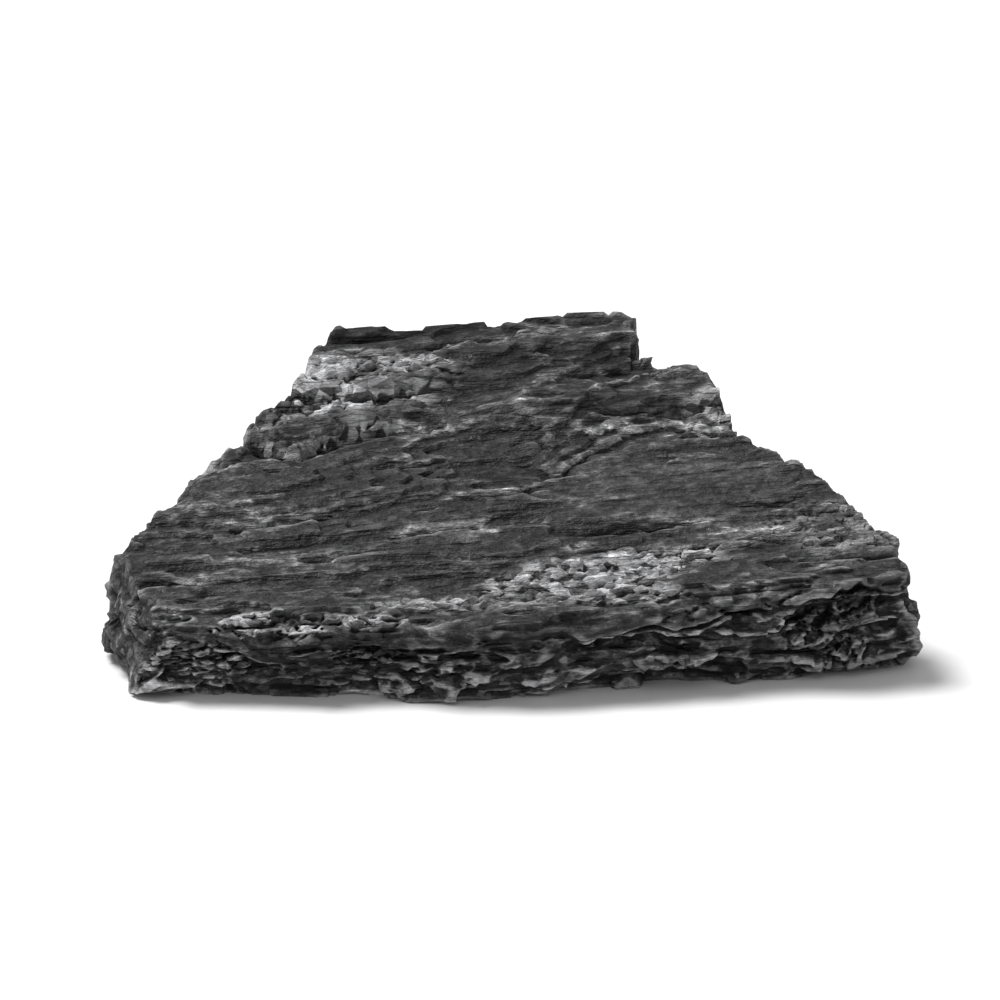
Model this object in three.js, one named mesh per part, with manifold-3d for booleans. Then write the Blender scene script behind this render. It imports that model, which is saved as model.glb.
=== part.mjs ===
// A lump of hardwood charcoal: a short billet that was split from a log, charred right through,
// and then broken off across the grain at both ends. It is one solid piece.
//
// Millimetres, +Z up. +X runs along the grain, -Y is the low front edge and +Y the high back edge.
// The origin is on the flat underside, below the middle of the lump's box.
//
// The growth rings lie nearly flat in this piece, and rise gently from the front to the back. The
// top is the wood's own ring surface, with two more rings still standing on its back half. All the
// other faces are splits along the grain or breaks across it, and each is a plane to begin with.

import * as THREE from "three";
import { mergeVertices } from "three/addons/utils/BufferGeometryUtils.js";
import Module from "manifold-3d";

const wasm = await Module();
wasm.setup();

// ---- Driving dimensions -------------------------------------------------------------------

const LENGTH = 63; // along the grain, before the ends are broken off
const DEPTH = 38; // front to back
const FRONT_HEIGHT = 6.5; // the height of the top face's front edge, halfway along the grain
const FRONT_EDGE_Y = -17.5; // where that edge is
const RING_RISE = 0.306; // how much the rings climb for each millimetre towards the back
const RING_LEAN = 0.05; // how much they climb for each millimetre along the grain
const RING_THICKNESS = 1.3; // of each ring that stands on the top face
const RINGS_STANDING = 2;

// The splits and breaks that bound the lump: a point that each goes through, and the way it faces.
const FACES = {
  front_split_right: { through: [0, -18.5, 6.5], facing: [0.1, -0.97, -0.22] },
  front_split_left: { through: [-6, -18.5, 6.2], facing: [-0.16, -0.95, -0.22] },
  back_split: { through: [0, 17, 19], facing: [0.03, 0.99, 0.14] },
  left_break: { through: [-30.5, -9, 5], facing: [-0.92, -0.28, 0.25] },
  back_left_break: { through: [-23, 5, 10], facing: [-0.74, 0.67, 0.12] },
  right_break: { through: [30.8, -13, 8], facing: [0.98, -0.05, 0.2] },
  back_right_break: { through: [23.3, 0, 10], facing: [0.83, 0.53, 0.1] },
};

// Two steps in the back right corner, where the billet broke across the grain and split along it by
// turns. Each step takes away all that is beyond both of its faces, its end and its side.
const CORNER_STEPS = [
  {
    end: { through: [12.9, 14, 18], facing: [0.99, -0.03, 0.04] },
    side: { through: [16, 10, 15], facing: [0.06, 0.99, 0.08] },
  },
  {
    end: { through: [19.2, 6, 13], facing: [0.99, 0.1, 0.08] },
    side: { through: [21, 1.6, 12], facing: [0.34, 0.93, 0.1] },
  },
];

// The torn edge of each ring that stands on the top, seen from above, from its left end to its
// right end. The ring lies behind this line, as far to the right as its corner step.
const RING_EDGES = [
  [[-24, 11], [-21, 9.5], [-15.6, 4.5], [-8.8, 7.8], [-3, 5.6], [4.4, -0.2], [7.8, 2.5], [13.7, 4.2], [21, 1.8]],
  [[-17, 13], [-14, 10], [-8.8, 8.8], [-2, 9.2], [3, 8.2], [7.8, 9.4], [14.5, 10.4]],
];

// Flakes that have come away along the edges. Each run goes from one point to another.
const FLAKED_EDGES = [
  { from: [-28, -15, 5.6], to: [29, -16, 8.6], flakes: 17, size: 1.0 },
  { from: [-11, 17, 19], to: [10, 17, 20], flakes: 7, size: 1.2 },
  { from: [-30, -4, 9], to: [-15, 14, 17.5], flakes: 8, size: 1.3 },
  { from: [29.5, -10, 9.8], to: [22, 1, 13], flakes: 5, size: 1.3 },
  { from: [12.8, 11, 18], to: [12.6, 18, 20], flakes: 3, size: 0.9 },
  { from: [-21, 9, 14], to: [-9, 7.5, 15], flakes: 4, size: 0.7 },
  { from: [4, 0, 13], to: [18, 3, 14.8], flakes: 5, size: 0.6 },
  { from: [-29.5, -12, 3], to: [-30, -3, 5], flakes: 3, size: 1.1 },
  { from: [30, -15, 4], to: [24.5, -1, 6], flakes: 4, size: 1.2 },
  { from: [-12, 18.5, 6], to: [13, 18.5, 8], flakes: 5, size: 1.2 },
];
const FLAKE_LENGTH = 2.4; // how many times longer a flake is along the grain than its size
const FLAKE_THICKNESS = 0.55; // and how much thinner
const FLAKE_ROLL = 0.7; // the most that a flake is rolled about the grain, either way, in radians
const FLAKE_TURN = 0.25; // and the most that it is turned away from the grain
const FLAKE_SIZES = [0.6, 1.4]; // the smallest and the largest flake of an edge, as shares of its size

// Shrinkage splits that open at an end and close along the grain: the mouth, the way that the
// split runs from it, its length, its width at the mouth, and how deep it reaches from there.
const END_SPLITS = [
  { mouth: [32.5, -12.4, 10], along: -1, length: 14, width: 0.9, depth: 6 },
  { mouth: [-33, -8.2, 9], along: 1, length: 12, width: 0.8, depth: 5 },
  { mouth: [20, 6.4, 17], along: -1, length: 12, width: 0.7, depth: 6 },
];

// A split's outline from above, in shares of its length and of its width at the mouth.
const SPLIT_OUTLINE = [[0, -0.5], [0.55, -0.35], [1, 0], [0.5, 0.2], [0, 0.5]];

const BEYOND = 200; // the size of a block that is larger than the lump in every direction
const SAME_POINT = 1e-4; // corners nearer than this are one
const SEED = 12;

// ---- Tools --------------------------------------------------------------------------------

// A manifold solid from a closed three.js geometry.
function solid(geometry) {
  const bare = geometry.clone();
  bare.deleteAttribute("normal");
  bare.deleteAttribute("uv");
  const welded = mergeVertices(bare, SAME_POINT);
  return new wasm.Manifold(
    new wasm.Mesh({
      numProp: 3,
      vertProperties: new Float32Array(welded.attributes.position.array),
      triVerts: new Uint32Array(welded.index.array),
    }),
  );
}

// A three.js geometry from a manifold solid.
function geometryOf(manifold) {
  const mesh = manifold.getMesh();
  const geometry = new THREE.BufferGeometry();
  geometry.setAttribute("position", new THREE.BufferAttribute(mesh.vertProperties, 3));
  geometry.setIndex(new THREE.BufferAttribute(mesh.triVerts, 1));
  return geometry;
}

// Everything on the far side of a plane, as a large block with one face on it.
function outside({ through, facing }) {
  const block = new THREE.BoxGeometry(BEYOND, BEYOND, BEYOND);
  block.translate(0, 0, BEYOND / 2);
  const turn = new THREE.Quaternion().setFromUnitVectors(
    new THREE.Vector3(0, 0, 1),
    new THREE.Vector3(...facing).normalize(),
  );
  block.applyQuaternion(turn);
  block.translate(...through);
  return solid(block);
}

// Numbers from 0 to 1 that are the same on every run.
function seeded(seed) {
  let state = seed;
  return () => {
    state = (state * 1664525 + 1013904223) % 4294967296;
    return state / 4294967296;
  };
}

// ---- The block between its splits and breaks -----------------------------------------------

// The plane of a ring surface: level 0 is the bare top face, and each standing ring is one more.
function ringSurface(level) {
  const lift = level * RING_THICKNESS * Math.hypot(RING_LEAN, RING_RISE, 1);
  return {
    through: [0, FRONT_EDGE_Y, FRONT_HEIGHT + lift],
    facing: [-RING_LEAN, -RING_RISE, 1],
  };
}

function block() {
  const rough = new THREE.BoxGeometry(LENGTH, DEPTH, BEYOND);
  rough.translate(0, 0, BEYOND / 2);
  const cuts = [...Object.values(FACES), ringSurface(RINGS_STANDING)].map(outside);
  for (const { end, side } of CORNER_STEPS) cuts.push(outside(end).intersect(outside(side)));
  return cuts.reduce((left, cut) => left.subtract(cut), solid(rough));
}

// ---- The standing rings --------------------------------------------------------------------

// What has gone from above one ring surface: an outline in front of the next ring's torn edge,
// carried straight up from the surface.
function missingRing(level) {
  const edge = RING_EDGES[level];
  const [leftX, leftY] = edge[0];
  const [rightX] = edge[edge.length - 1];
  const outline = new THREE.Shape();
  outline.moveTo(-BEYOND, -BEYOND);
  outline.lineTo(BEYOND, -BEYOND);
  outline.lineTo(BEYOND, BEYOND);
  outline.lineTo(rightX, BEYOND);
  for (const [x, y] of [...edge].reverse()) outline.lineTo(x, y);
  outline.lineTo(leftX - LENGTH, leftY + LENGTH);
  outline.lineTo(-BEYOND, BEYOND);
  const column = new THREE.ExtrudeGeometry(outline, { depth: BEYOND, bevelEnabled: false });
  const above = outside(ringSurface(level));
  return solid(column).intersect(above);
}

// ---- Flakes and splits ---------------------------------------------------------------------

// A flake's bite: a lens with a few flat sides, long in the direction of the grain.
function flake(centre, size, random) {
  const lens = new THREE.IcosahedronGeometry(1, 0);
  lens.rotateX(random() * Math.PI);
  lens.scale(size * FLAKE_LENGTH, size, size * FLAKE_THICKNESS);
  lens.rotateX((2 * random() - 1) * FLAKE_ROLL);
  lens.rotateZ((2 * random() - 1) * FLAKE_TURN);
  lens.translate(...centre);
  return solid(lens);
}

// The flakes of one edge, spread along it with uneven gaps and sizes.
function flakesAlong({ from, to, flakes, size }, random) {
  const [smallest, largest] = FLAKE_SIZES;
  return Array.from({ length: flakes }, (_, i) => {
    const share = (i + 0.25 + 0.5 * random()) / flakes;
    const centre = from.map((start, k) => start + (to[k] - start) * share + (random() - 0.5) * size);
    return flake(centre, size * (smallest + (largest - smallest) * random()), random);
  });
}

// A split: a thin wedge standing on edge, widest at its mouth.
function endSplit({ mouth, along, length, width, depth }) {
  const corners = SPLIT_OUTLINE.map(([down, across]) => new THREE.Vector2(down * length, across * width));
  const wedge = new THREE.Shape(corners);
  const plate = new THREE.ExtrudeGeometry(wedge, { depth: 2 * depth, bevelEnabled: false });
  plate.translate(0, 0, -depth);
  if (along < 0) plate.rotateZ(Math.PI);
  plate.translate(...mouth);
  return solid(plate);
}

// ---- The lump ------------------------------------------------------------------------------

const random = seeded(SEED);
let lump = block();
for (let level = 0; level < RINGS_STANDING; level++) lump = lump.subtract(missingRing(level));
for (const edge of FLAKED_EDGES) {
  for (const bite of flakesAlong(edge, random)) lump = lump.subtract(bite);
}
for (const split of END_SPLITS) lump = lump.subtract(endSplit(split));

// A flake that crosses a split can free a crumb, so only the lump itself is kept.
lump = lump.decompose().sort((a, b) => b.volume() - a.volume())[0];

const geometry = geometryOf(lump);
geometry.computeBoundingBox();
const { min, max } = geometry.boundingBox;
geometry.translate(-(min.x + max.x) / 2, -(min.y + max.y) / 2, -min.z);
geometry.computeVertexNormals();

const charcoal = new THREE.MeshStandardMaterial({ color: 0x2a2a2b, roughness: 0.55, metalness: 0 });
const body = new THREE.Mesh(geometry, charcoal);
body.name = "charcoal_lump";

const group = new THREE.Group();
group.add(body);

export default group;
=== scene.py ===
"""A lump of hardwood charcoal, lying on its flat split face on a pale floor."""
import math

import bpy
import numpy as np
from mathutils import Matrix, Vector


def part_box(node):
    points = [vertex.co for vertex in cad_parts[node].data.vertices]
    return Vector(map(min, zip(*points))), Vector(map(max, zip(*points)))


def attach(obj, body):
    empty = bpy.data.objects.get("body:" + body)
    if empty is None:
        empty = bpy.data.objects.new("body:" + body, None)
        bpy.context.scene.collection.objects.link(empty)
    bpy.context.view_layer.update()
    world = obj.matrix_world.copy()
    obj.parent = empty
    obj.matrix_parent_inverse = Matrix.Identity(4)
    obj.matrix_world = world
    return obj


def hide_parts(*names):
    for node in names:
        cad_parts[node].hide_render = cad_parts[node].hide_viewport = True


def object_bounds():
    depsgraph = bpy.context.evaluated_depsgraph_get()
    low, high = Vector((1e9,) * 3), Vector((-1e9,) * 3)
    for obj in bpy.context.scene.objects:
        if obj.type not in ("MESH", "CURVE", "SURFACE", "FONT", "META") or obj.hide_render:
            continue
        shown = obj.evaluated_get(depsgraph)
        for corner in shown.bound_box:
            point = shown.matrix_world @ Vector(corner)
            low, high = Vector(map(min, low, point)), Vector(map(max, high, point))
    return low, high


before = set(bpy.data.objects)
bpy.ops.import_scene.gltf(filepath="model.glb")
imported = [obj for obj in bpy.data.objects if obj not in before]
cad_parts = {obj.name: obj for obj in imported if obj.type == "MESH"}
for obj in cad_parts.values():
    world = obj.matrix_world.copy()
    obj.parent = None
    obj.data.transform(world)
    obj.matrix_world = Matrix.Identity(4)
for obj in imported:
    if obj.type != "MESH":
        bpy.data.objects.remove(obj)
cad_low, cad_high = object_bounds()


# ---- The camera --------------------------------------------------------------------------------
# A long lens, as far off as a bag and its whole pile would need, looks down on the front edge from a
# little to the left, so that the top face, the front split and the broken left end all show.

CAMERA_DISTANCE = 0.95  # metres
CAMERA_SENSOR = 36.0  # mm
CAMERA_AZIMUTH = -6.0  # degrees round from straight in front, and to the left if negative
CAMERA_ELEVATION = 20.0  # degrees above the floor
LUMP_IN_VIEW = 0.80  # share of the view's width that the lump's length takes up


def aim_camera():
    """The lump's length fills its share of the view with a lens of distance x share x sensor / length."""
    middle = (cad_low + cad_high) / 2
    length = cad_high.x - cad_low.x
    azimuth = math.radians(CAMERA_AZIMUTH)
    elevation = math.radians(CAMERA_ELEVATION)
    level = math.cos(elevation)
    towards = Vector((level * math.sin(azimuth), -level * math.cos(azimuth), math.sin(elevation)))
    data = bpy.data.cameras.new("camera")
    data.lens = CAMERA_DISTANCE * LUMP_IN_VIEW * CAMERA_SENSOR / length
    data.sensor_width = CAMERA_SENSOR
    data.clip_start = 0.01
    camera = bpy.data.objects.new("camera", data)
    bpy.context.scene.collection.objects.link(camera)
    camera.location = middle + CAMERA_DISTANCE * towards
    camera.rotation_euler = (-towards).to_track_quat("-Z", "Y").to_euler()
    bpy.context.scene.camera = camera


aim_camera()


# ---- The charcoal lump -------------------------------------------------------------------------
# One billet of hardwood, split from a log along the grain, charred right through and broken off at
# both ends. The grain runs along X. The growth rings lie nearly flat and climb to the back, where
# two more rings still stand on the top. All of this section's lengths are in millimetres.

MM = 0.001
LENGTH = 63.0  # along the grain
DEPTH = 38.0  # front to back
FRONT_HEIGHT = 6.5  # of the top face's front edge, halfway along the grain
FRONT_EDGE_Y = -17.5  # where that edge is
RING_RISE = 0.306  # how much the rings climb for each millimetre towards the back
RING_LEAN = 0.05  # and for each millimetre along the grain
RING_THICKNESS = 1.3  # of each ring that stands on the top

# Each face of the billet is a plane: its kind, a point that it goes through, the way it faces.
FACES = (
    ("front", (0, -18.5, 6.5), (0.10, -0.97, -0.22)),
    ("front", (-6, -18.5, 6.2), (-0.16, -0.95, -0.22)),
    ("back", (0, 17, 19), (0.03, 0.99, 0.14)),
    ("back", (0, DEPTH / 2, 0), (0, 1, 0)),
    ("back_break", (-23, 5, 10), (-0.74, 0.67, 0.12)),
    ("back_break", (23.3, 0, 10), (0.83, 0.53, 0.10)),
    ("left_break", (-30.5, -9, 5), (-0.92, -0.28, 0.25)),
    ("left_break", (-LENGTH / 2, 0, 0), (-1, 0, 0)),
    ("right_break", (30.8, -13, 8), (0.98, -0.05, 0.20)),
    ("right_break", (LENGTH / 2, 0, 0), (1, 0, 0)),
    ("top", (0, FRONT_EDGE_Y, FRONT_HEIGHT), (-RING_LEAN, -RING_RISE, 1)),
    ("underside", (0, 0, 0), (0, 0, -1)),
    ("step_end", (12.9, 14, 18), (0.99, -0.03, 0.04)),
    ("step_side", (16, 10, 15), (0.06, 0.99, 0.08)),
    ("step_end", (19.2, 6, 13), (0.99, 0.10, 0.08)),
    ("step_side", (21, 1.6, 12), (0.34, 0.93, 0.10)),
)

# The rows of each corner step's end and side. What lay beyond both of them has gone.
CORNER_STEPS = ((12, 13), (14, 15))

# The torn edges of the two standing rings, from left to right. Each ring lies behind its line.
LOWER_RING_EDGE = (
    (-24, 11), (-21, 9.5), (-15.6, 4.5), (-8.8, 7.8), (-3, 5.6),
    (4.4, -0.2), (7.8, 2.5), (13.7, 4.2), (21, 1.8),
)
UPPER_RING_EDGE = (
    (-17, 13), (-14, 10), (-8.8, 8.8), (-2, 9.2), (3, 8.2), (7.8, 9.4), (14.5, 10.4),
)
RING_EDGES = (LOWER_RING_EDGE, UPPER_RING_EDGE)


def ease(low, high, value):
    """0 below low, 1 above high, and 3s^2 - 2s^3 between, where s is the share of the way. With low
    above high it falls from 1 to 0 instead."""
    share = np.clip((value - low) / (high - low), 0, 1)
    return share * share * (3 - 2 * share)


def lattice_value(i, j, k, salt):
    """A number from 0 to 1 for each whole-number point: its bits, multiplied, shifted and mixed. The
    salt gives each use numbers of its own."""
    mixed = (i * 374761393 + j * 668265263 + k * 1274126177 + salt * 974634777) & 0xFFFFFFFF
    mixed = ((mixed ^ (mixed >> 13)) * 1103515245) & 0xFFFFFFFF
    mixed = ((mixed ^ (mixed >> 16)) * 668265263) & 0xFFFFFFFF
    return ((mixed ^ (mixed >> 15)) & 0xFFFFFF) / 0xFFFFFF


def noise(x, y, z, salt):
    """Smooth noise from -1 to 1: values on a lattice one unit apart, blended by 6t^5 - 15t^4 + 10t^3."""
    whole = [np.floor(a).astype(np.int64) for a in (x, y, z)]
    part = [a - w for a, w in zip((x, y, z), whole)]
    u, v, w = [t * t * t * (t * (6 * t - 15) + 10) for t in part]
    total = 0
    for a in (0, 1):
        for b in (0, 1):
            for c in (0, 1):
                weight = (u if a else 1 - u) * (v if b else 1 - v) * (w if c else 1 - w)
                total = total + weight * lattice_value(whole[0] + a, whole[1] + b, whole[2] + c, salt)
    return 2 * total - 1


def fractal(x, y, z, salt, octaves=3, gain=0.5):
    """Noise plus gain times noise at half the size, and so on."""
    total = 0
    for octave in range(octaves):
        scale = 2 ** octave
        total = total + gain ** octave * noise(x * scale, y * scale, z * scale, salt + octave)
    return total


def cells(x, y, salt):
    """The plane cut into cells round jittered points: how much nearer the nearest point is than the
    second nearest, which is 0 on a cell's border, and a height for the place. The height is from -1
    to 1 for each cell, and every cell also tilts its own way, so that it is a flat, slanting facet."""
    i, j = np.floor(x).astype(np.int64), np.floor(y).astype(np.int64)
    nearest = np.full(x.shape, np.inf)
    second = np.full(x.shape, np.inf)
    height = np.zeros(x.shape)
    for a in (-1, 0, 1):
        for b in (-1, 0, 1):
            values = [lattice_value(i + a, j + b, 0 * i, salt + step) for step in range(5)]
            across, along = x - (i + a + values[0]), y - (j + b + values[1])
            away = np.hypot(across, along)
            closer = away < nearest
            second = np.where(closer, nearest, np.minimum(second, away))
            facet = 2 * values[2] - 1 + 1.6 * ((values[3] - 0.5) * across + (values[4] - 0.5) * along)
            height = np.where(closer, facet, height)
            nearest = np.where(closer, away, nearest)
    return second - nearest, height


# The billet's planes as arrays: the normals, and how far along its normal each plane lies.
FACE_KINDS = np.array([kind for kind, _, _ in FACES])
NORMALS = np.array([facing for _, _, facing in FACES], float)
NORMALS /= np.linalg.norm(NORMALS, axis=1)[:, None]
OFFSETS = np.einsum("ij,ij->i", NORMALS, np.array([through for _, through, _ in FACES], float))


def main_face(x, y):
    """The height of the top's lowest ring surface, a plane that climbs to the back and the right."""
    return FRONT_HEIGHT + RING_LEAN * x + RING_RISE * (y - FRONT_EDGE_Y)


def side_y(kinds, x, z, pick):
    """Where the planes of some kinds stand at a place along the grain and a height: each plane gives
    y = (offset - normal_x x - normal_z z) / normal_y, and pick keeps the innermost."""
    rows = [row for row, kind in enumerate(FACE_KINDS) if kind in kinds]
    values = [(OFFSETS[r] - NORMALS[r, 0] * x - NORMALS[r, 2] * z) / NORMALS[r, 1] for r in rows]
    return pick(np.array(values), axis=0)


# ---- The lump's surface: rays from a core ----

STATIONS = 260  # cross-sections along the grain
SECTION_POINTS = 344  # and the points round each of them
FRONT_POINTS = 30  # of those, the ones that are always on the front
ROW_SPACING = 0.22  # between the points that cross the top and run down the back
END_LOOPS = 12  # that close each end
END_INSET = 1.2  # how far inside the lump's length the last section stands
STRAIGHT_BACK = (-11, 20)  # along the grain, where the back isn't a slanting break
BREAK_CROWDING = 0.7  # how many more sections, as a share, stand beside that
STEP_RAMP = 0.45  # half the distance along the grain over which the sections cross a corner step's end
STEP_CROWDING = 7.0  # how many times more sections stand there than elsewhere
COUNTING_PLACES = 4000  # that the sections are shared out over
CORE_INSET = 3.0  # how far inside the surface the rays start
CORE_SHARE = 0.42  # and the most, as a share of the billet's thickness there
BREAK_LEAN = 5.0  # how far the rays start to the side of their targets on a slanting break
LEFT_SLANT = (-12, -26)  # along the grain, where the rays begin to lean on the left, and lean fully
RIGHT_SLANT = (19, 25)  # and the same on the right
FRONT_PART = -8  # targets in front of this don't lean
NEAR_STEP = 1.5  # how near a corner step's end the rays begin to lean
CORE_HEIGHTS = (5.0, 8.0)  # where the front and the back are measured to place the core
FIRST_HEIGHTS = (6.0, 10.0)  # and where they are first measured to find the top's edges


def crossing(x):
    """For each corner step, how far the sections have come past its end: 0 before and 1 after."""
    return [np.clip((x - FACES[end][1][0]) / (2 * STEP_RAMP) + 0.5, 0, 1) for end, _ in CORNER_STEPS]


def back_line(x, z):
    """How far back the billet reaches at a place and a height, with the corner steps taken away."""
    y = side_y(("back", "back_break"), x, z, np.min)
    for share, (_, side) in zip(crossing(x), CORNER_STEPS):
        step_y = (OFFSETS[side] - NORMALS[side, 0] * x - NORMALS[side, 2] * z) / NORMALS[side, 1]
        y = y + share * np.minimum(step_y - y, 0)
    return y


def station_places():
    """Where the sections stand: evenly, but closer together along the slanting breaks at the back, and
    crowded where they cross a corner step's end."""
    fine = np.linspace(-LENGTH / 2 + END_INSET, LENGTH / 2 - END_INSET, COUNTING_PLACES)
    left, right = STRAIGHT_BACK
    density = 1 + BREAK_CROWDING * ((fine < left) | (fine > right))
    density = density + STEP_CROWDING * sum((share > 0) & (share < 1) for share in crossing(fine))
    so_far = np.cumsum(density)
    return np.interp(np.linspace(so_far[0], so_far[-1], STATIONS), so_far, fine)


def section_targets():
    """Points on the bare billet, section by section. Round each section they are laid off a fixed
    distance apart, counted from a line before the front edge, so that their rows run straight along
    the grain over the top and down the back. The front and the underside take the rest. Beyond the
    last section at each end, the same loop shrinks to the middle of the end break."""
    x = station_places()[:, None]
    front_y = side_y(("front",), x, FIRST_HEIGHTS[0], np.max)
    front_y = side_y(("front",), x, main_face(x, front_y), np.max)
    front_z = main_face(x, front_y)
    back_y = back_line(x, FIRST_HEIGHTS[1])
    back_z = main_face(x, back_y) + ring_height(x, back_y, smooth=True)
    back_y = back_line(x, back_z)
    foot_front = side_y(("front",), x, 0.0, np.max)
    foot_back = back_line(x, 0.0)

    laid = ROW_SPACING * (np.arange(SECTION_POINTS) - FRONT_POINTS)[None, :]
    corner = front_y + DEPTH / 2
    across_top = np.hypot(back_y - front_y, back_z - front_z)
    down_back = np.hypot(back_y - foot_back, back_z)
    up_front = (laid - laid[0, 0]) / (corner - laid[0, 0])
    over_top = (laid - corner) / across_top
    down = (laid - corner - across_top) / down_back
    rest = corner + across_top + down_back
    under = (laid - rest) / (laid[0, -1] + ROW_SPACING - rest)
    parts = (
        (up_front < 1, up_front, foot_front, 0, front_y, front_z),
        (over_top < 1, over_top, front_y, front_z, back_y, back_z),
        (down < 1, down, back_y, back_z, foot_back, 0),
        (under < 1, under, foot_back, 0, foot_front, 0),
    )
    chosen = [part[0] for part in parts]
    loop_y = np.select(chosen, [y0 + share * (y1 - y0) for _, share, y0, _, y1, _ in parts])
    loop_z = np.select(chosen, [z0 + share * (z1 - z0) for _, share, _, z0, _, z1 in parts])
    body = np.stack((x + 0 * loop_y, loop_y, loop_z), axis=2)
    shrink = 1 - (np.arange(END_LOOPS) + 1) / (END_LOOPS + 1)
    ends = []
    for section, way in ((body[0], -1), (body[-1], 1)):
        middle = (section.min(axis=0) + section.max(axis=0)) / 2
        loops = middle + (section - middle) * shrink[:, None, None]
        loops[:, :, 0] = way * LENGTH / 2
        ends.append(loops)
    return np.concatenate((ends[0][::-1], body, ends[1]))


def ray_starts(targets):
    """The core that the rays start from: each target moved in to the nearest point that is a few
    millimetres inside every side. Near the slanting breaks at the back, and near the ends of the
    corner steps, the start also moves along X, so that the ray meets the break more squarely."""
    core_half = LENGTH / 2 - END_INSET - CORE_INSET
    x = np.clip(targets[..., 0], -core_half, core_half)
    near_step = [ease(NEAR_STEP, STEP_RAMP, np.abs(x - FACES[end][1][0])) for end, _ in CORNER_STEPS]
    front_y = side_y(("front",), x, CORE_HEIGHTS[0], np.max)
    back_y = back_line(x, CORE_HEIGHTS[1])
    inset = np.minimum(CORE_INSET, CORE_SHARE * (back_y - front_y))
    y = np.clip(targets[..., 1], front_y + inset, back_y - inset * (1 - sum(near_step)))
    height = main_face(x, y)
    inset = np.minimum(CORE_INSET, CORE_SHARE * height)
    z = np.clip(targets[..., 2], inset, height - inset)
    out, up = np.abs(targets[..., 1] - y), np.abs(targets[..., 2] - z)
    sideways = out / (out + up + 0.01)
    slanting = ease(*RIGHT_SLANT, x) - ease(*LEFT_SLANT, x)
    lean = BREAK_LEAN * sideways * slanting * (targets[..., 1] > FRONT_PART)
    for share, (_, side) in zip(near_step, CORNER_STEPS):
        step_y = FACES[side][1][1]
        lean = lean + CORE_INSET * share * ease(step_y - 2, step_y, targets[..., 1])
    return np.stack((x - lean, y, z), axis=2)


FAR = 1e3  # the run to a plane that a ray doesn't meet
LEAST_TOWARDS = 0.04  # a ray meets a plane if at least this share of its way is towards it


def nearest_face(starts, ways, relief):
    """How far each ray runs to the billet's surface: the least of (offset + relief - normal.start) /
    (normal.way) over the planes that it runs towards, the next least, and which plane it meets. A
    corner step is met at the further of its two planes."""
    towards = np.einsum("fk,rsk->frs", NORMALS, ways)
    gap = OFFSETS[:, None, None] + relief - np.einsum("fk,rsk->frs", NORMALS, starts)
    run = np.where(towards > LEAST_TOWARDS, gap / np.maximum(towards, LEAST_TOWARDS), FAR)
    for end, side in CORNER_STEPS:
        to_end = np.where(gap[end] > 0, run[end], 0)
        to_side = np.where(gap[side] > 0, run[side], 0)
        run[end] = np.where(to_end >= to_side, to_end, FAR)
        run[side] = np.where(to_side > to_end, to_side, FAR)
    order = np.argsort(run, axis=0)
    least = np.take_along_axis(run, order[:1], axis=0)[0]
    next_least = np.take_along_axis(run, order[1:2], axis=0)[0]
    return least, next_least, order[0]


# ---- The relief of each kind of face ----

SHEETS = 4  # thin sheets that each ring comes away in
SET_BACK = 0.34  # how far each sheet's edge lies behind the edge of the sheet below, on the left
MORE_SET_BACK = 0.9  # and how much further on the right
TORN_SLOPE = 0.16  # how far it takes a torn edge to rise
WORN_SLOPE = 2.6  # and how much further where it has worn away
CURL_HEIGHT = 0.16  # of the lifted edge, give or take the next value
CURL_CHANGE = 0.12
UNDERCUT = 0.9  # how deep the bold step on the left is cut in at its foot


def grain_bend(x, y):
    """The fibres aren't quite straight: y moved by slow noise, which bends all that follows the grain."""
    return y + 1.1 * noise(x / 26, y / 16, 0 * x, 11) + 0.35 * noise(x / 9, y / 7, 0 * x, 12)


def behind_edge(level, x, y, smooth=False):
    """How far a place lies behind a ring's torn edge, and how far it is from the ring's right end.
    Noise that is long in the grain pulls the edge into fingers, less so where it has peeled."""
    edge_x, edge_y = np.array(RING_EDGES[level], float).T
    behind = y - np.interp(x, edge_x, edge_y) - np.maximum(edge_x[0] - x, 0)
    beside = edge_x[-1] - x
    if smooth:
        return behind, beside
    fingers = 0.8 * noise(x / 7, y / 1.6, 0 * x, 20 + level)
    fingers = fingers + 0.4 * noise(x / 2.6, y / 0.9, 0 * x, 23 + level)
    fingers = fingers + 0.15 * noise(x / 1.2, y / 0.5, 0 * x, 26)
    ragged_end = 0.5 * noise(x / 2, y / 1.3, 0 * x, 29 + level)
    return behind + (1 - 0.7 * peeling(level, x)) * fingers, beside + ragged_end


def peeling(level, x):
    """Where the lower ring's edge has lifted in one thin curl, from the middle to its right end."""
    return ease(3, 6, x) * ease(21, 18, x) if level == 0 else 0 * x


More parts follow.
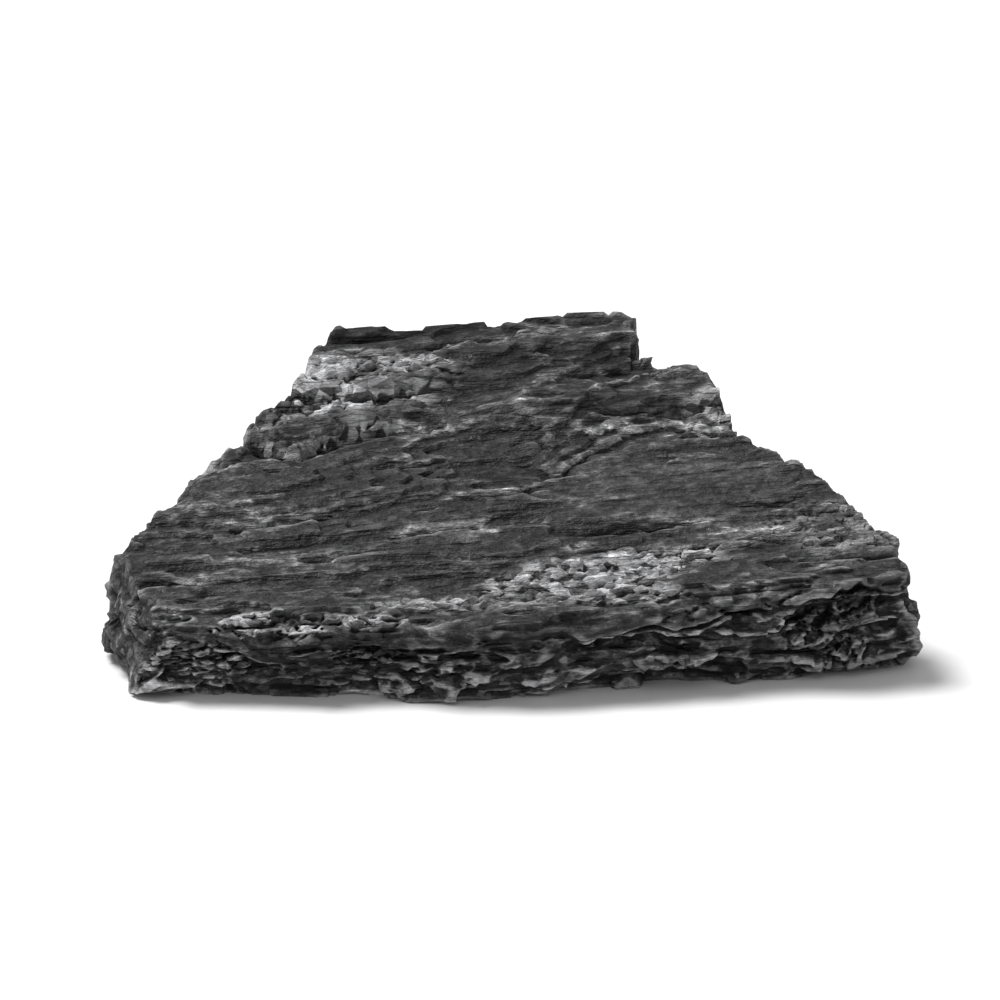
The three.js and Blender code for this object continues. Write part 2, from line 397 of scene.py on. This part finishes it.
def ring_height(x, y, smooth=False):
    """How much wood stands above the lowest ring surface. Each ring steps up behind its torn edge in
    thin sheets. Their edges lie close together on the left, in one bold undercut step, and well behind
    each other on the right, where the first of them curls up. The lower ring's middle has worn away."""
    still = 0 * x
    height = still
    for level in range(len(RING_EDGES)):
        behind, beside = behind_edge(level, x, y, smooth)
        if smooth:
            height = height + RING_THICKNESS * ease(-1, 1, behind) * ease(-1, 1, beside)
            continue
        worn = ease(-9, -4, x) * ease(4, 1, x) if level == 0 else still
        lifted = peeling(level, x)
        for sheet in range(SHEETS):
            own_salt = sheet + 5 * level
            wander = 1 + 0.6 * noise(x / 6, still, still, 31 + own_salt)
            set_back = sheet * (SET_BACK + MORE_SET_BACK * ease(-6, 3, x)) * wander
            frayed = 0.5 * noise(x / 2.5, y / 1.2, still, 180 + own_salt)
            set_back = set_back + (1 - lifted) * frayed
            end_back = 0.5 * sheet * lattice_value(np.floor(y / 1.4).astype(np.int64), 0, 0, 43 + sheet)
            rise = ease(0, 1, (behind - set_back) / (TORN_SLOPE + WORN_SLOPE * worn))
            height = height + RING_THICKNESS / SHEETS * rise * ease(0, 0.2, beside - end_back)
        curl = ease(-0.1, 0.1, behind) * ease(0.6, 0.1, behind) * ease(0, 1, beside)
        curl_height = CURL_HEIGHT + CURL_CHANGE * noise(x / 2.6, still, still, 190)
        height = height + curl_height * lifted * curl
        bold = ease(-2, -7, x)
        shadowed = ease(-1.6, -0.2, behind) * ease(0.15, -0.1, behind) * ease(0, 0.6, beside)
        height = height - (UNDERCUT * bold + 0.2 * lifted) * shadowed
    return height


def sheet_steps(x, y, salt, size, step):
    """Thin sheets that have peeled off: slow noise, long in the grain, rounded down to whole steps,
    with a short steep rise at each one."""
    level = size * fractal(x / 17, y / 3.4, 0 * x, salt, 3, 0.55)
    level = level + 0.25 * noise(x / 2.2, y / 0.7, 0 * x, salt + 7)
    whole = np.floor(level)
    return step * (whole + ease(0.0, 0.16, level - whole))


# The fibres show as ridges of four sizes: height, length along the grain, and width.
FIBRES = ((0.24, 24, 3.0), (0.13, 14, 1.4), (0.06, 8, 0.75), (0.03, 4, 0.45))


def fibres(x, y, z, salt):
    """Fine ridges along the grain: for each size of ridge, its height times noise that is stretched to
    its length and width, all added up."""
    total = 0 * x
    for number, (height, length, width) in enumerate(FIBRES):
        total = total + height * noise(x / length, y / width, z / width, salt + number)
    return total


def blob(x, y, centre_x, centre_y, half_length, half_width, salt):
    """1 in the middle of an oval and 0 outside, with an edge that noise makes ragged along the grain."""
    away = np.hypot((x - centre_x) / half_length, (y - centre_y) / half_width)
    ragged = 0.35 * fractal(x / 5, y / 1.6, 0 * x, salt, 3)
    return ease(1.15, 0.65, away + ragged)


# Where the top has crumbled: a long patch by the front edge, one along the standing rings' torn edges
# on the left, and small ones beside the other edges. Middle x and y, half length and width, amount.
CRUMBLED_PATCHES = (
    (7.0, -11.8, 11.0, 3.0, 1.0),
    (-3.0, -14.2, 8.0, 1.6, 0.6),
    (-12.0, 10.4, 10.0, 2.8, 0.95),
    (1.0, 13.5, 7.0, 1.4, 0.25),
    (-19.0, -15.9, 8.0, 1.4, 0.85),
    (9.0, -15.9, 5.0, 1.0, 0.6),
    (17.5, 4.8, 3.0, 2.0, 0.6),
    (25.0, -8.5, 5.0, 3.5, 0.5),
)

# Where shade is painted on the top, darkening it: in the corners behind the torn edges, and on the upper
# ring. The same five numbers for each.
PAINTED_SHADE_PLACES = (
    (-19.5, 7.2, 4.5, 2.0, 0.9),
    (9.5, 5.6, 5.5, 1.8, 0.8),
    (8.2, 3.4, 2.4, 1.1, 0.85),
    (10.5, 9.5, 3.5, 2.5, 0.7),
    (-12.0, 5.0, 6.0, 0.9, 0.6),
    (2.5, 0.8, 3.0, 1.2, 0.7),
    (5.0, 11.5, 9.0, 4.5, 0.5),
)


def most_of(total, x, y, places, salt):
    """The total so far, or at each place the amount of the strongest blob there, if that is more."""
    for number, (cx, cy, length, width, amount) in enumerate(places):
        total = np.maximum(total, amount * blob(x, y, cx, cy, length, width, salt + number))
    return total


def crumbled(x, y):
    """How crumbled the top is: the crumbled patches, and the lower ring's torn edge on the left."""
    behind, _ = behind_edge(0, x, y)
    torn = 0.75 * ease(-0.5, 0.0, behind) * ease(1.1, 0.5, behind) * ease(-2, -7, x)
    return most_of(torn, x, y, CRUMBLED_PATCHES, 50)


def painted_shade(x, y):
    """How much shade is painted on the top: the places listed, and a strip along the back edge that
    darkens the back.
    """
    return most_of(ease(12.5, 16.5, y), x, y, PAINTED_SHADE_PLACES, 270)


def smooth_skin(x, y):
    """Where the ring surface is bare and unbroken: right of the middle, in front of the lifted edge."""
    return blob(x, y, 14.0, -3.0, 9.0, 4.2, 60)


# Slits that opened along the grain as the wood shrank: middle x and y, half length, depth, width.
SLITS = (
    (-17.5, -2.2, 4.2, 1.4, 0.34),
    (-5.8, -4.6, 3.6, 1.3, 0.32),
    (-11.5, -7.5, 5.0, 0.9, 0.28),
    (0.5, -1.6, 4.0, 1.0, 0.30),
    (9.5, -6.6, 5.5, 0.8, 0.26),
    (10.5, 5.5, 3.2, 0.9, 0.26),
    (26.5, -12.4, 5.5, 1.9, 0.36),
    (18.0, -9.4, 5.0, 0.8, 0.26),
    (-28.5, -9.0, 4.5, 1.6, 0.34),
    (-20.5, -11.0, 5.0, 0.9, 0.28),
    (1.0, 13.0, 5.5, 1.1, 0.30),
    (-8.0, 14.8, 4.0, 0.9, 0.26),
    (20.5, -4.5, 3.4, 0.7, 0.26),
)


def slits(x, y):
    """The depth of the slits: each is a narrow bell across the grain that tapers to both its ends."""
    total = 0 * x
    for number, (cx, cy, half, depth, width) in enumerate(SLITS):
        wander = 0.5 * noise(x / 3.5, 0 * x + number, 0 * x, 70)
        taper = np.clip(1 - ((x - cx) / half) ** 2, 0, 1)
        total = np.maximum(total, depth * taper ** 0.7 * np.exp(-(((y - cy - wander) / width) ** 2)))
    return total


def top_relief(x, y):
    """The top: standing rings, a slow swell, peeled sheets, fibres and crumbled pits, added up, less
    the slits."""
    along = grain_bend(x, y)
    skin = smooth_skin(x, y)
    crumble = crumbled(x, y)
    relief = ring_height(x, y)
    relief = relief + 0.5 * noise(x / 20, y / 11, 0 * x, 80)
    relief = relief + (1 - 0.8 * skin) * sheet_steps(x, along, 81, 2.2, 0.38)
    relief = relief + (0.62 - 0.32 * skin) * fibres(x, along, 0 * x, 90)
    splinter, facet = cells(x / 2.6 + 0.4 * noise(x, y, 0 * x, 94), along / 0.7, 220)
    crumb, fine_facet = cells(x / 1.2, along / 0.5, 225)
    gaps = 0.50 * ease(0.16, 0.0, splinter) + 0.18 * ease(0.15, 0, crumb)
    relief = relief + crumble * (0.34 * facet + 0.20 * fine_facet - gaps - 0.05)
    return relief - slits(x, along)


def front_relief(x, depth_below):
    """The front split: a ragged lip on top, a groove under it where softer wood has gone, and below
    that strands of the grain that stand out by different amounts, crumbled here and there."""
    still = 0 * x
    lip = 1.3 + 0.6 * noise(x / 8, still, still, 100) + 0.55 * noise(x / 2.4, still, still, 101)
    lip = lip + 0.25 * noise(x / 0.8, still, still, 103) - 0.5 * ease(2, -8, x)
    under = depth_below - lip
    groove = ease(-0.1, 0.3, under) * ease(3.0, 0.9, under)
    relief = -(0.35 + 0.95 * ease(-8, 4, x)) * (0.8 + 0.5 * noise(x / 4, still, still, 104)) * groove
    notch, chunk = cells(x / 3.6 + 0.5 * noise(x / 3, depth_below, still, 265), depth_below / 3, 260)
    torn = ease(-0.1, 0.4, noise(x / 7, still, still, 266))
    relief = relief + torn * ease(0.3, -0.3, under) * (0.25 * chunk - 0.3 * ease(0.2, 0, notch))
    bend = depth_below + 0.5 * noise(x / 5, depth_below / 3, still, 102)
    _, facet = cells(x / 5.5, bend / 1.15, 230)
    strands = 0.5 * facet + sheet_steps(x, bend, 106, 2.2, 0.28)
    fine_border, fine_facet = cells(x / 1.2 + bend, bend / 0.62, 235)
    crumbs = 0.38 * fine_facet - 0.08 - 0.3 * ease(0.2, 0, fine_border)
    crumbling = ease(-0.15, 0.35, fractal(x / 6, bend / 2.5, still, 114, 3))
    relief = relief + ease(0, 0.8, under) * (strands + crumbling * crumbs)
    ragged = 0.7 * noise(x / 6, bend / 4, still, 117) + 0.3 * noise(x / 1.7, bend / 0.9, still, 118)
    return relief + ragged + fibres(x, still, depth_below, 120)


def break_relief(y, z, x):
    """A break across the grain: bundles of fibres that broke at different lengths and slants, thick
    ones and the thin ones that they are made of, as two sizes of cells over a slow swell."""
    wander_y = y + 0.4 * noise(x / 3, y / 1.7, z / 1.7, 119)
    wander_z = z + 0.4 * noise(x / 3, y / 1.7, z / 1.7, 121)
    border, facet = cells(wander_y / 3.6, wander_z / 2.0, 240)
    _, fine_facet = cells(wander_y / 1.9, wander_z / 1.2, 245)
    relief = 0.60 * facet + 0.25 * fine_facet - 0.30 * ease(0.25, 0, border)
    return relief + 0.5 * noise(x / 4, y / 5, z / 4, 130)


def back_relief(x, z):
    """The back split: peeled sheets that stand on edge, fibres, facets and a slow swell, added up."""
    layers = sheet_steps(x, z, 140, 2.6, 0.3)
    _, facet = cells(x / 5, z / 1.1, 250)
    return layers + fibres(x, 0 * x, z, 148) + 0.22 * facet + 0.6 * noise(x / 15, z / 8, 0 * x, 152)


def spread(values, times):
    """Values on the wrapped grid, averaged so many times over: each becomes a sixth of its four
    neighbours and twice itself, added up."""
    for _ in range(times):
        along = np.concatenate((values[:1], values, values[-1:]))
        beside = np.roll(values, 1, 1) + np.roll(values, -1, 1)
        values = (2 * values + along[:-2] + along[2:] + beside) / 6
    return values


# How much of the break relief, in shares, each kind of break shows.
BREAK_SHARES = (("back_break", 0.9), ("left_break", 0.8), ("right_break", 0.8), ("step_end", 0.8))
STEP_PATTERN = 40  # how far the pattern on the corner steps is moved from the pattern on the back
DEEPEST, HIGHEST = 3.5, 2.0  # how far the surface may lie inside and outside its targets
EDGE_REACH = 1.6  # how close two planes are where an edge chips


def lump_surface():
    """Each ray's start plus its way times its run to the relieved planes, less what has chipped off
    the edges, where the nearest two planes are close together. Returns points, ways and faces."""
    targets = section_targets()
    starts = ray_starts(targets)
    ways = targets - starts
    reach = np.linalg.norm(ways, axis=2)
    ways = ways / reach[..., None]
    on_top = FACE_KINDS == "top"
    upright = NORMALS[on_top][0, 2]
    bare = np.zeros((len(FACES),) + targets.shape[:2])
    bare[on_top] = upright * ring_height(targets[..., 0], targets[..., 1], smooth=True)
    run, _, _ = nearest_face(starts, ways, bare)
    x, y, z = np.moveaxis(starts + run[..., None] * ways, 2, 0)

    relief = np.zeros_like(bare)
    relief[on_top] = upright * top_relief(x, y)
    relief[FACE_KINDS == "front"] = front_relief(x, main_face(x, y) - z)
    relief[FACE_KINDS == "back"] = back_relief(x, z) - 0.5
    relief[FACE_KINDS == "step_side"] = back_relief(x, z + STEP_PATTERN)
    breaks = spread(break_relief(y, z, x), 1)
    for kind, share in BREAK_SHARES:
        relief[FACE_KINDS == kind] = share * breaks - 0.3
    hollows = fibres(x, y, 0 * x, 160) + 0.3 * noise(x / 7, y / 5, 0 * x, 165)
    relief[FACE_KINDS == "underside"] = -np.maximum(0, hollows)

    run, next_run, face = nearest_face(starts, ways, relief)
    run = np.clip(run, reach - DEEPEST, reach + HIGHEST)
    near_edge = ease(EDGE_REACH, 0.0, next_run - run)
    chips = 0.9 * np.maximum(0, noise(x / 2.6, y / 1.3, z / 1.3, 170) + 0.1) + 0.12
    run = run - near_edge * chips * (FACE_KINDS[face] != "underside")
    points = starts + run[..., None] * ways
    points[..., 2] = np.maximum(points[..., 2], 0)
    return points, ways, face


def close_grid(points):
    """Vertices and triangles of the wrapped grid, with one more vertex at the middle of each end. Each
    square of the grid is split along its shorter diagonal."""
    loops, around = points.shape[:2]
    number = np.arange(loops * around).reshape(loops, around)
    beside = np.roll(number, -1, axis=1)
    flat = points.reshape(-1, 3)
    a, b, c, d = [part.ravel() for part in (number[:-1], number[1:], beside[1:], beside[:-1])]
    shorter = np.linalg.norm(flat[a] - flat[c], axis=1) < np.linalg.norm(flat[b] - flat[d], axis=1)
    first_half = np.where(shorter[:, None], np.stack((a, b, c), axis=1), np.stack((a, b, d), axis=1))
    second_half = np.where(shorter[:, None], np.stack((a, c, d), axis=1), np.stack((b, c, d), axis=1))
    first, last = loops * around, loops * around + 1
    left = np.stack((np.full(around, first), number[0], beside[0]), axis=1)
    right = np.stack((np.full(around, last), beside[-1], number[-1]), axis=1)
    poles = np.stack((points[0].mean(axis=0), points[-1].mean(axis=0)))
    return np.concatenate((flat, poles)), np.concatenate((first_half, second_half, left, right))


SHARP_EDGE = math.radians(38)  # two faces that meet more sharply than this aren't shaded as one
PROUD_HEIGHT = 0.25  # how far a place stands out when it is fully proud
LIP = 2.0  # how far down the front its unbroken upper edge reaches

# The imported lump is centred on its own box, so the surface moves as the box has moved.
points, ways, face = lump_surface()
low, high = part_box("charcoal_lump")
shift = np.array((high.x / MM - LENGTH / 2, high.y / MM - DEPTH / 2, low.z / MM))
vertices, triangles = close_grid(points)
mesh = bpy.data.meshes.new("charcoal_lump_surface")
mesh.from_pydata(((vertices + shift) * MM).tolist(), [], triangles.tolist())
mesh.update()
lump = bpy.data.objects.new("charcoal_lump_surface", mesh)
bpy.context.scene.collection.objects.link(lump)
mesh.shade_smooth()
mesh.set_sharp_from_angle(angle=SHARP_EDGE)

# What the finish needs to know about each place: how far it stands out from its neighbours, how crumbled,
# broken or bare it is, how much shade is painted on it, and where the lower ring's edge has lifted, which
# carries a painted highlight.
x, y, z = np.moveaxis(points, 2, 0)
proud = np.einsum("rsk,rsk->rs", points - spread(points, 6), ways)
lower_edge, _ = behind_edge(0, x, y)
on_top = FACE_KINDS[face] == "top"
broken = np.isin(FACE_KINDS[face], [kind for kind, _ in BREAK_SHARES])
torn_front = (FACE_KINDS[face] == "front") & (main_face(x, y) - z > LIP)
broken = broken | torn_front
marks = {
    "proud": np.clip(proud / PROUD_HEIGHT, -1, 1),
    "crumbled": np.clip(crumbled(x, y) * on_top, 0, 1),
    "broken": spread(broken.astype(float), 2),
    "torn_front": spread(torn_front.astype(float), 2),
    "painted_shade": painted_shade(x, y) * on_top,
    "skin": smooth_skin(x, y) * on_top,
    "lifted": on_top * peeling(0, x) * ease(-0.05, 0.08, lower_edge) * ease(0.45, 0.1, lower_edge),
}
for name, values in marks.items():
    layer = mesh.attributes.new(name, "FLOAT", "POINT")
    layer.data.foreach_set("value", np.concatenate((values.ravel(), (0.0, 0.0))).astype(np.float32))


BARE_CARBON = 0.022  # the share of light that it gives back where it is neither streaked nor dusty
DUST_AND_HIGHLIGHT_PALENESS = 0.72  # and how much more it gives back under thick dust or a painted highlight


def charcoal_finish():
    """Near-black carbon. Fine streaks follow the grain in colour, gloss and bump. Painted shade darkens
    the hollows, fine cracks, breaks and the corners behind the torn edges; crumbled wood carries pale
    dust, the proud edges pale dust and a painted highlight, the lifted edge a painted highlight, and the
    breaks bright flecks that are partly painted glints."""
    material = bpy.data.materials.new("charcoal")
    material.use_nodes = True
    nodes, links = material.node_tree.nodes, material.node_tree.links
    nodes.clear()

    def node(kind, **settings):
        """A new node with its settings."""
        made = nodes.new(kind)
        for name, value in settings.items():
            setattr(made, name, value)
        return made

    def feed(made, socket, value):
        """A node's output is linked to the socket, and anything else is set on it."""
        if hasattr(value, "node"):
            links.new(value, made.inputs[socket])
        else:
            made.inputs[socket].default_value = value

    def reckon(operation, a, b=0.0, c=0.0, clamp=False):
        """Sums on one, two or three values."""
        made = node("ShaderNodeMath", operation=operation, use_clamp=clamp)
        for socket, value in enumerate((a, b, c)):
            feed(made, socket, value)
        return made.outputs[0]

    def band(value, low, high, to_low, to_high):
        """A smooth step from one value to another, between two limits."""
        made = node("ShaderNodeMapRange", interpolation_type="SMOOTHSTEP")
        for socket, value_in in enumerate((value, low, high, to_low, to_high)):
            feed(made, socket, value_in)
        return made.outputs[0]

    def mark(name):
        """One of the mesh's marks."""
        return node("ShaderNodeAttribute", attribute_name=name).outputs["Fac"]

    place = node("ShaderNodeTexCoord").outputs["Object"]

    def grain(size, stretch, detail, rough):
        """Noise with features of a size in millimetres, so many times longer along the grain."""
        mapping = node("ShaderNodeMapping")
        feed(mapping, "Vector", place)
        feed(mapping, "Scale", (1 / (size * MM * stretch), 1 / (size * MM), 1 / (size * MM)))
        made = node("ShaderNodeTexNoise")
        feed(made, "Vector", mapping.outputs[0])
        feed(made, "Scale", 1.0)
        feed(made, "Detail", detail)
        feed(made, "Roughness", rough)
        return made.outputs["Fac"]

    def grit(size, stretch, output, feature="F1"):
        """Cells of a size in millimetres, so many times longer along the grain."""
        mapping = node("ShaderNodeMapping")
        feed(mapping, "Vector", place)
        feed(mapping, "Scale", (1 / (size * MM * stretch), 1 / (size * MM), 1 / (size * MM)))
        made = node("ShaderNodeTexVoronoi", feature=feature)
        feed(made, "Vector", mapping.outputs[0])
        feed(made, "Scale", 1.0)
        return made.outputs[output]

    proud, crumble, broken = mark("proud"), mark("crumbled"), mark("broken")
    torn_front, lifted = mark("torn_front"), mark("lifted")
    skin, shade_mask = mark("skin"), mark("painted_shade")
    rough_wood = reckon("MAXIMUM", crumble, broken)
    streak = grain(1.1, 9, 4, 0.6)
    fine_streak = grain(0.26, 9, 3, 0.6)
    cloud = grain(4.5, 2.5, 4, 0.6)
    mottle = grain(0.8, 1.8, 4, 0.7)
    speck = grit(0.42, 1.5, "Color")
    chip = grit(0.75, 1.9, "Color")
    crack = grit(1.3, 7.0, "Distance", "DISTANCE_TO_EDGE")

    # The bare carbon: a base times e to the power of mixed streaks, clouds and mottling.
    variation = reckon("MULTIPLY", reckon("SUBTRACT", streak, 0.5), 5.5)
    for pattern, amount in ((fine_streak, 2.5), (cloud, 10.0), (mottle, 11.0)):
        variation = reckon("MULTIPLY_ADD", reckon("SUBTRACT", pattern, 0.5), amount, variation)
    variation = reckon("MULTIPLY", variation, reckon("MULTIPLY_ADD", skin, -0.35, 1.0))
    carbon = reckon("MULTIPLY", reckon("EXPONENT", variation), BARE_CARBON)
    # Painted shade: the breaks and the torn front are darkened to 55 per cent.
    carbon = reckon("MULTIPLY", carbon, reckon("MULTIPLY_ADD", broken, -0.45, 1.0))

    # Pale dust where wood has crumbled; pale dust and a painted highlight on the proud edges; a painted
    # highlight along the lifted edge; and bright flecks, partly ash and partly painted glints, on the
    # breaks.
    flecks = reckon("POWER", speck, 4.0)
    dust_and_highlight = reckon("MULTIPLY", crumble, band(chip, 0.25, 0.8, 0.08, 1.0))
    # Pale dust and a painted highlight on the proud edges.
    edge_dust_and_highlight = band(proud, 0.15, 0.9, 0.0, 0.36)
    edge_dust_and_highlight = reckon("MULTIPLY", edge_dust_and_highlight, band(cloud, 0.38, 0.62, 0.25, 1.0))
    # Painted highlight: on the torn front the proud ridges are made 2.2 times paler.
    edge_dust_and_highlight = reckon("MULTIPLY", edge_dust_and_highlight, reckon("MULTIPLY_ADD", torn_front, 1.2, 1.0))
    dust_and_highlight = reckon("ADD", dust_and_highlight, edge_dust_and_highlight)
    # Painted highlight: a pale line along the lifted edge.
    dust_and_highlight = reckon("MULTIPLY_ADD", lifted, band(mottle, 0.40, 0.60, 0.45, 0.80), dust_and_highlight)
    # Bright flecks, partly pale ash and partly painted glints, with more of them on the breaks.
    flecks = reckon("MULTIPLY", flecks, band(broken, 0, 1, 0.10, 0.40))
    dust_and_highlight = reckon("ADD", dust_and_highlight, flecks, clamp=True)
    dust_and_highlight = reckon("MULTIPLY", dust_and_highlight, band(mottle, 0.3, 0.6, 0.45, 1.0))

    # Painted shade takes light away in the hollows, in the fine cracks and at the places where shade is
    # painted.
    pale = reckon("MULTIPLY_ADD", dust_and_highlight, DUST_AND_HIGHLIGHT_PALENESS, carbon)
    shaded = reckon("MULTIPLY", pale, band(proud, -0.04, -0.55, 1.0, 0.10))
    shaded = reckon("MULTIPLY", shaded, band(crack, 0.0, 0.05, 0.5, 1.0))
    # Painted shade: the places listed in the painted-shade table are darkened by up to 65 per cent.
    shaded = reckon("MULTIPLY", shaded, reckon("MULTIPLY_ADD", shade_mask, -0.65, 1.0))
    tint = node("ShaderNodeCombineColor")
    for channel, share in (("Red", 1.0), ("Green", 1.0), ("Blue", 1.02)):
        feed(tint, channel, reckon("MULTIPLY", shaded, share))

    # A dull sheen, flatter under the dust and painted highlights and where shade is painted, with small
    # glossy facets.
    glint = band(speck, 0.86, 0.93, 0.0, 0.22)
    rough = reckon("MULTIPLY_ADD", fine_streak, 0.35, 0.36)
    rough = reckon("ADD", rough, reckon("MULTIPLY", reckon("MAXIMUM", dust_and_highlight, shade_mask), 0.30))
    rough = reckon("SUBTRACT", rough, reckon("MULTIPLY_ADD", skin, 0.05, glint), clamp=True)

    def bump(height, depth, strength, before=None):
        """Bumps of a depth in millimetres, on top of the ones before."""
        made = node("ShaderNodeBump")
        feed(made, "Height", height)
        feed(made, "Distance", depth * MM)
        feed(made, "Strength", strength)
        if before is not None:
            feed(made, "Normal", before)
        return made.outputs["Normal"]

    # From the streaks down to the specks, with less of them on the bare skin.
    normal = bump(streak, 0.75, 0.85)
    normal = bump(fine_streak, 0.40, reckon("MULTIPLY_ADD", skin, -0.4, 0.6), normal)
    normal = bump(mottle, 0.55, reckon("MULTIPLY_ADD", skin, -0.4, 0.9), normal)
    normal = bump(band(crack, 0.0, 0.10, 0.0, 1.0), 0.10, 0.5, normal)
    normal = bump(chip, 0.50, rough_wood, normal)
    normal = bump(speck, 0.20, reckon("MULTIPLY_ADD", rough_wood, 0.7, 0.2), normal)

    surface = node("ShaderNodeBsdfPrincipled")
    feed(surface, "Base Color", tint.outputs[0])
    feed(surface, "Roughness", rough)
    feed(surface, "IOR", 1.40)
    feed(surface, "Normal", normal)
    output = node("ShaderNodeOutputMaterial")
    links.new(surface.outputs[0], output.inputs["Surface"])
    return material


mesh.materials.append(charcoal_finish())
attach(lump, "root")
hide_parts("charcoal_lump")


# ---- The floor and the light -------------------------------------------------------------------
# A plain white floor, a large soft light overhead and a little behind, and a white room all round.

FLOOR_SIZE = 10.0  # metres
CARD_WHITE = (0.86, 0.86, 0.86, 1)
KEY_PLACE = (-1.76, 1.12, 4.0)  # metres
KEY_AIM = (0, 0, 0.008)  # the middle of the lump
KEY_SIZE = 1.76
KEY_POWER = 230  # watts
ROOM_LIGHT = 0.44


def floor_material():
    """Matt white card."""
    material = bpy.data.materials.new("white_card")
    material.use_nodes = True
    surface = material.node_tree.nodes["Principled BSDF"]
    surface.inputs["Base Color"].default_value = CARD_WHITE
    surface.inputs["Roughness"].default_value = 0.9
    return material


def lay_floor():
    """A square of four corners at the height of the lump's underside."""
    half = FLOOR_SIZE / 2
    data = bpy.data.meshes.new("floor")
    corners = [(-half, -half, low.z), (half, -half, low.z), (half, half, low.z), (-half, half, low.z)]
    data.from_pydata(corners, [], [(0, 1, 2, 3)])
    data.materials.append(floor_material())
    floor = bpy.data.objects.new("floor", data)
    bpy.context.scene.collection.objects.link(floor)


def hang_light(name, place, aim, size, power):
    """A square light that faces the point that it is aimed at."""
    data = bpy.data.lights.new(name, "AREA")
    data.size = size
    data.energy = power
    light = bpy.data.objects.new(name, data)
    bpy.context.scene.collection.objects.link(light)
    light.location = place
    light.rotation_euler = (Vector(aim) - Vector(place)).to_track_quat("-Z", "Y").to_euler()


def light_room():
    """The same soft white from every direction."""
    world = bpy.data.worlds.new("room")
    world.use_nodes = True
    background = world.node_tree.nodes["Background"]
    background.inputs["Color"].default_value = (1, 1, 1, 1)
    background.inputs["Strength"].default_value = ROOM_LIGHT
    bpy.context.scene.world = world


lay_floor()
hang_light("key_light", KEY_PLACE, KEY_AIM, KEY_SIZE, KEY_POWER)
light_room()
bpy.context.scene.view_settings.view_transform = "Standard"
